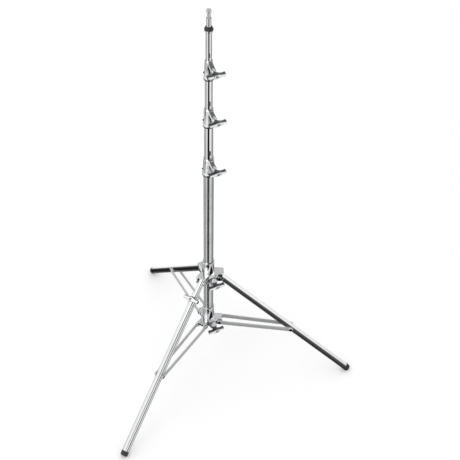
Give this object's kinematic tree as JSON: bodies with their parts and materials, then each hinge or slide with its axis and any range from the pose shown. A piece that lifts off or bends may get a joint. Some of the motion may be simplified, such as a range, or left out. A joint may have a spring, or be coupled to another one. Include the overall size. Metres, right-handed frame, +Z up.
{
  "type": "telescopic lighting stand",
  "caption": "Chromed steel lighting stand: a folding tripod base with one levelling leg, a telescopic column held by T-handle clamps, and a round stud on top.",
  "frame": {"origin": "on the column's axis, on the floor that the feet stand on", "axes": "+Z up along the column; +X from the column towards the right leg; the other legs at 120 degrees either side"},
  "size_m": [0.8311, 0.9554, 1.6],
  "materials": {
    "chrome_tube": "bright chrome plate",
    "stud_steel": "bright chrome plate on turned steel",
    "brace_steel": "satin chrome plate on pressed steel",
    "cast_metal": "polished die casting",
    "dark_steel": "blackened steel",
    "black_rubber": "matt moulded",
    "black_plastic": "moulded"
  },
  "bodies": {
    "column": {"base_tube": "chrome_tube", "base_plug": "black_plastic", "lower_collar": "cast_metal", "lower_collar_shoe": "black_plastic", "lower_collar_bolts": "dark_steel", "clamp_1": "cast_metal", "clamp_1_shoe": "black_plastic", "clamp_1_ring": "black_plastic"},
    "lower_riser": {"riser_1": "chrome_tube", "riser_1_guide": "black_plastic", "clamp_2": "cast_metal", "clamp_2_shoe": "black_plastic", "clamp_2_ring": "black_plastic"},
    "middle_riser": {"riser_2": "chrome_tube", "riser_2_guide": "black_plastic", "clamp_3": "cast_metal", "clamp_3_shoe": "black_plastic", "clamp_3_ring": "black_plastic"},
    "top_riser": {"riser_3": "chrome_tube", "riser_3_guide": "black_plastic", "stud": "stud_steel", "stud_ring": "black_rubber", "stud_flange": "chrome_tube"},
    "leg_collar": {"upper_collar": "cast_metal", "upper_collar_shoe": "black_plastic", "upper_collar_bolts": "dark_steel"},
    "right_leg_arm": {"right_leg": "chrome_tube", "right_leg_plug": "chrome_tube", "right_foot": "black_rubber", "right_leg_pin": "dark_steel"},
    "back_leg_arm": {"back_leg": "chrome_tube", "back_leg_plug": "chrome_tube", "back_foot": "black_rubber", "back_leg_pin": "dark_steel"},
    "front_leg_arm": {"front_inner_leg": "chrome_tube", "front_leg_ferrule": "chrome_tube", "front_outer_leg": "chrome_tube", "front_foot": "black_rubber", "front_leg_pin": "dark_steel", "level_lock": "cast_metal", "level_shoe": "black_plastic"},
    "right_brace": {"right_braces": "brace_steel", "right_brace_rivets": "dark_steel"},
    "back_brace": {"back_braces": "brace_steel", "back_brace_rivets": "dark_steel"},
    "front_brace": {"front_braces": "brace_steel", "front_brace_rivets": "dark_steel"},
    "clamp_1_knob": {"clamp_1_handle": "cast_metal", "clamp_1_screw": "dark_steel"},
    "clamp_2_knob": {"clamp_2_handle": "cast_metal", "clamp_2_screw": "dark_steel"},
    "clamp_3_knob": {"clamp_3_handle": "cast_metal", "clamp_3_screw": "dark_steel"},
    "upper_collar_knob": {"upper_collar_handle": "cast_metal", "upper_collar_screw": "dark_steel"},
    "lower_collar_knob": {"lower_collar_handle": "cast_metal", "lower_collar_screw": "dark_steel"},
    "level_knob": {"level_handle": "cast_metal", "level_screw": "dark_steel"}
  },
  "joints": [
    {"name": "lower_riser_slide", "type": "slide", "parent": "column", "child": "lower_riser", "axis": [0, 0, 1], "range_m": [-0.13, 0.48]},
    {"name": "middle_riser_slide", "type": "slide", "parent": "lower_riser", "child": "middle_riser", "axis": [0, 0, 1], "range_m": [-0.11, 0.54]},
    {"name": "top_riser_slide", "type": "slide", "parent": "middle_riser", "child": "top_riser", "axis": [0, 0, 1], "range_m": [-0.1, 0.58]},
    {"name": "leg_fold", "type": "slide", "parent": "column", "child": "leg_collar", "axis": [0, 0, 1], "range_m": [0, 0.404]},
    {"name": "right_leg_hinge", "type": "hinge", "parent": "leg_collar", "child": "right_leg_arm", "pos_m": [0.041, 0, 0.484], "axis": [0, 1, 0], "range_deg": [0, 42.55]},
    {"name": "right_brace_hinge", "type": "hinge", "parent": "column", "child": "right_brace", "pos_m": [0.042, 0, 0.2495], "axis": [0, -1, 0], "range_deg": [0, 89.52]},
    {"name": "back_leg_hinge", "type": "hinge", "parent": "leg_collar", "child": "back_leg_arm", "pos_m": [-0.0205, 0.03551, 0.484], "axis": [-0.866, -0.5, 0], "range_deg": [0, 42.55]},
    {"name": "back_brace_hinge", "type": "hinge", "parent": "column", "child": "back_brace", "pos_m": [-0.021, 0.03637, 0.2495], "axis": [0.866, 0.5, 0], "range_deg": [0, 89.52]},
    {"name": "front_leg_hinge", "type": "hinge", "parent": "leg_collar", "child": "front_leg_arm", "pos_m": [-0.0205, -0.03551, 0.484], "axis": [0.866, -0.5, 0], "range_deg": [0, 42.55]},
    {"name": "front_brace_hinge", "type": "hinge", "parent": "column", "child": "front_brace", "pos_m": [-0.021, -0.03637, 0.2495], "axis": [-0.866, 0.5, 0], "range_deg": [0, 89.52]},
    {"name": "clamp_1_turn", "type": "hinge", "parent": "column", "child": "clamp_1_knob", "pos_m": [0.03, -0.05196, 1.016], "axis": [0.5, -0.866, 0], "range_deg": [0, 270]},
    {"name": "clamp_2_turn", "type": "hinge", "parent": "lower_riser", "child": "clamp_2_knob", "pos_m": [0.03, -0.05196, 1.219], "axis": [0.5, -0.866, 0], "range_deg": [0, 270]},
    {"name": "clamp_3_turn", "type": "hinge", "parent": "middle_riser", "child": "clamp_3_knob", "pos_m": [0.0263, -0.05393, 1.402], "axis": [0.4384, -0.8988, 0], "range_deg": [0, 270]},
    {"name": "upper_collar_turn", "type": "hinge", "parent": "leg_collar", "child": "upper_collar_knob", "pos_m": [0.03, -0.05196, 0.484], "axis": [0.5, -0.866, 0], "range_deg": [0, 270]},
    {"name": "lower_collar_turn", "type": "hinge", "parent": "column", "child": "lower_collar_knob", "pos_m": [0.03, -0.05196, 0.2495], "axis": [0.5, -0.866, 0], "range_deg": [0, 270]},
    {"name": "level_turn", "type": "hinge", "parent": "front_leg_arm", "child": "level_knob", "pos_m": [-0.04693, -0.08129, 0.43366], "axis": [-0.3448, -0.5972, 0.7242], "range_deg": [0, 270]}
  ],
  "couplings": [
    {"joint": "right_leg_hinge", "follows": "leg_fold", "rad_per_m": 1.8382},
    {"joint": "right_brace_hinge", "follows": "leg_fold", "rad_per_m": 3.8673},
    {"joint": "back_leg_hinge", "follows": "leg_fold", "rad_per_m": 1.8382},
    {"joint": "back_brace_hinge", "follows": "leg_fold", "rad_per_m": 3.8673},
    {"joint": "front_leg_hinge", "follows": "leg_fold", "rad_per_m": 1.8382},
    {"joint": "front_brace_hinge", "follows": "leg_fold", "rad_per_m": 3.8673}
  ]
}
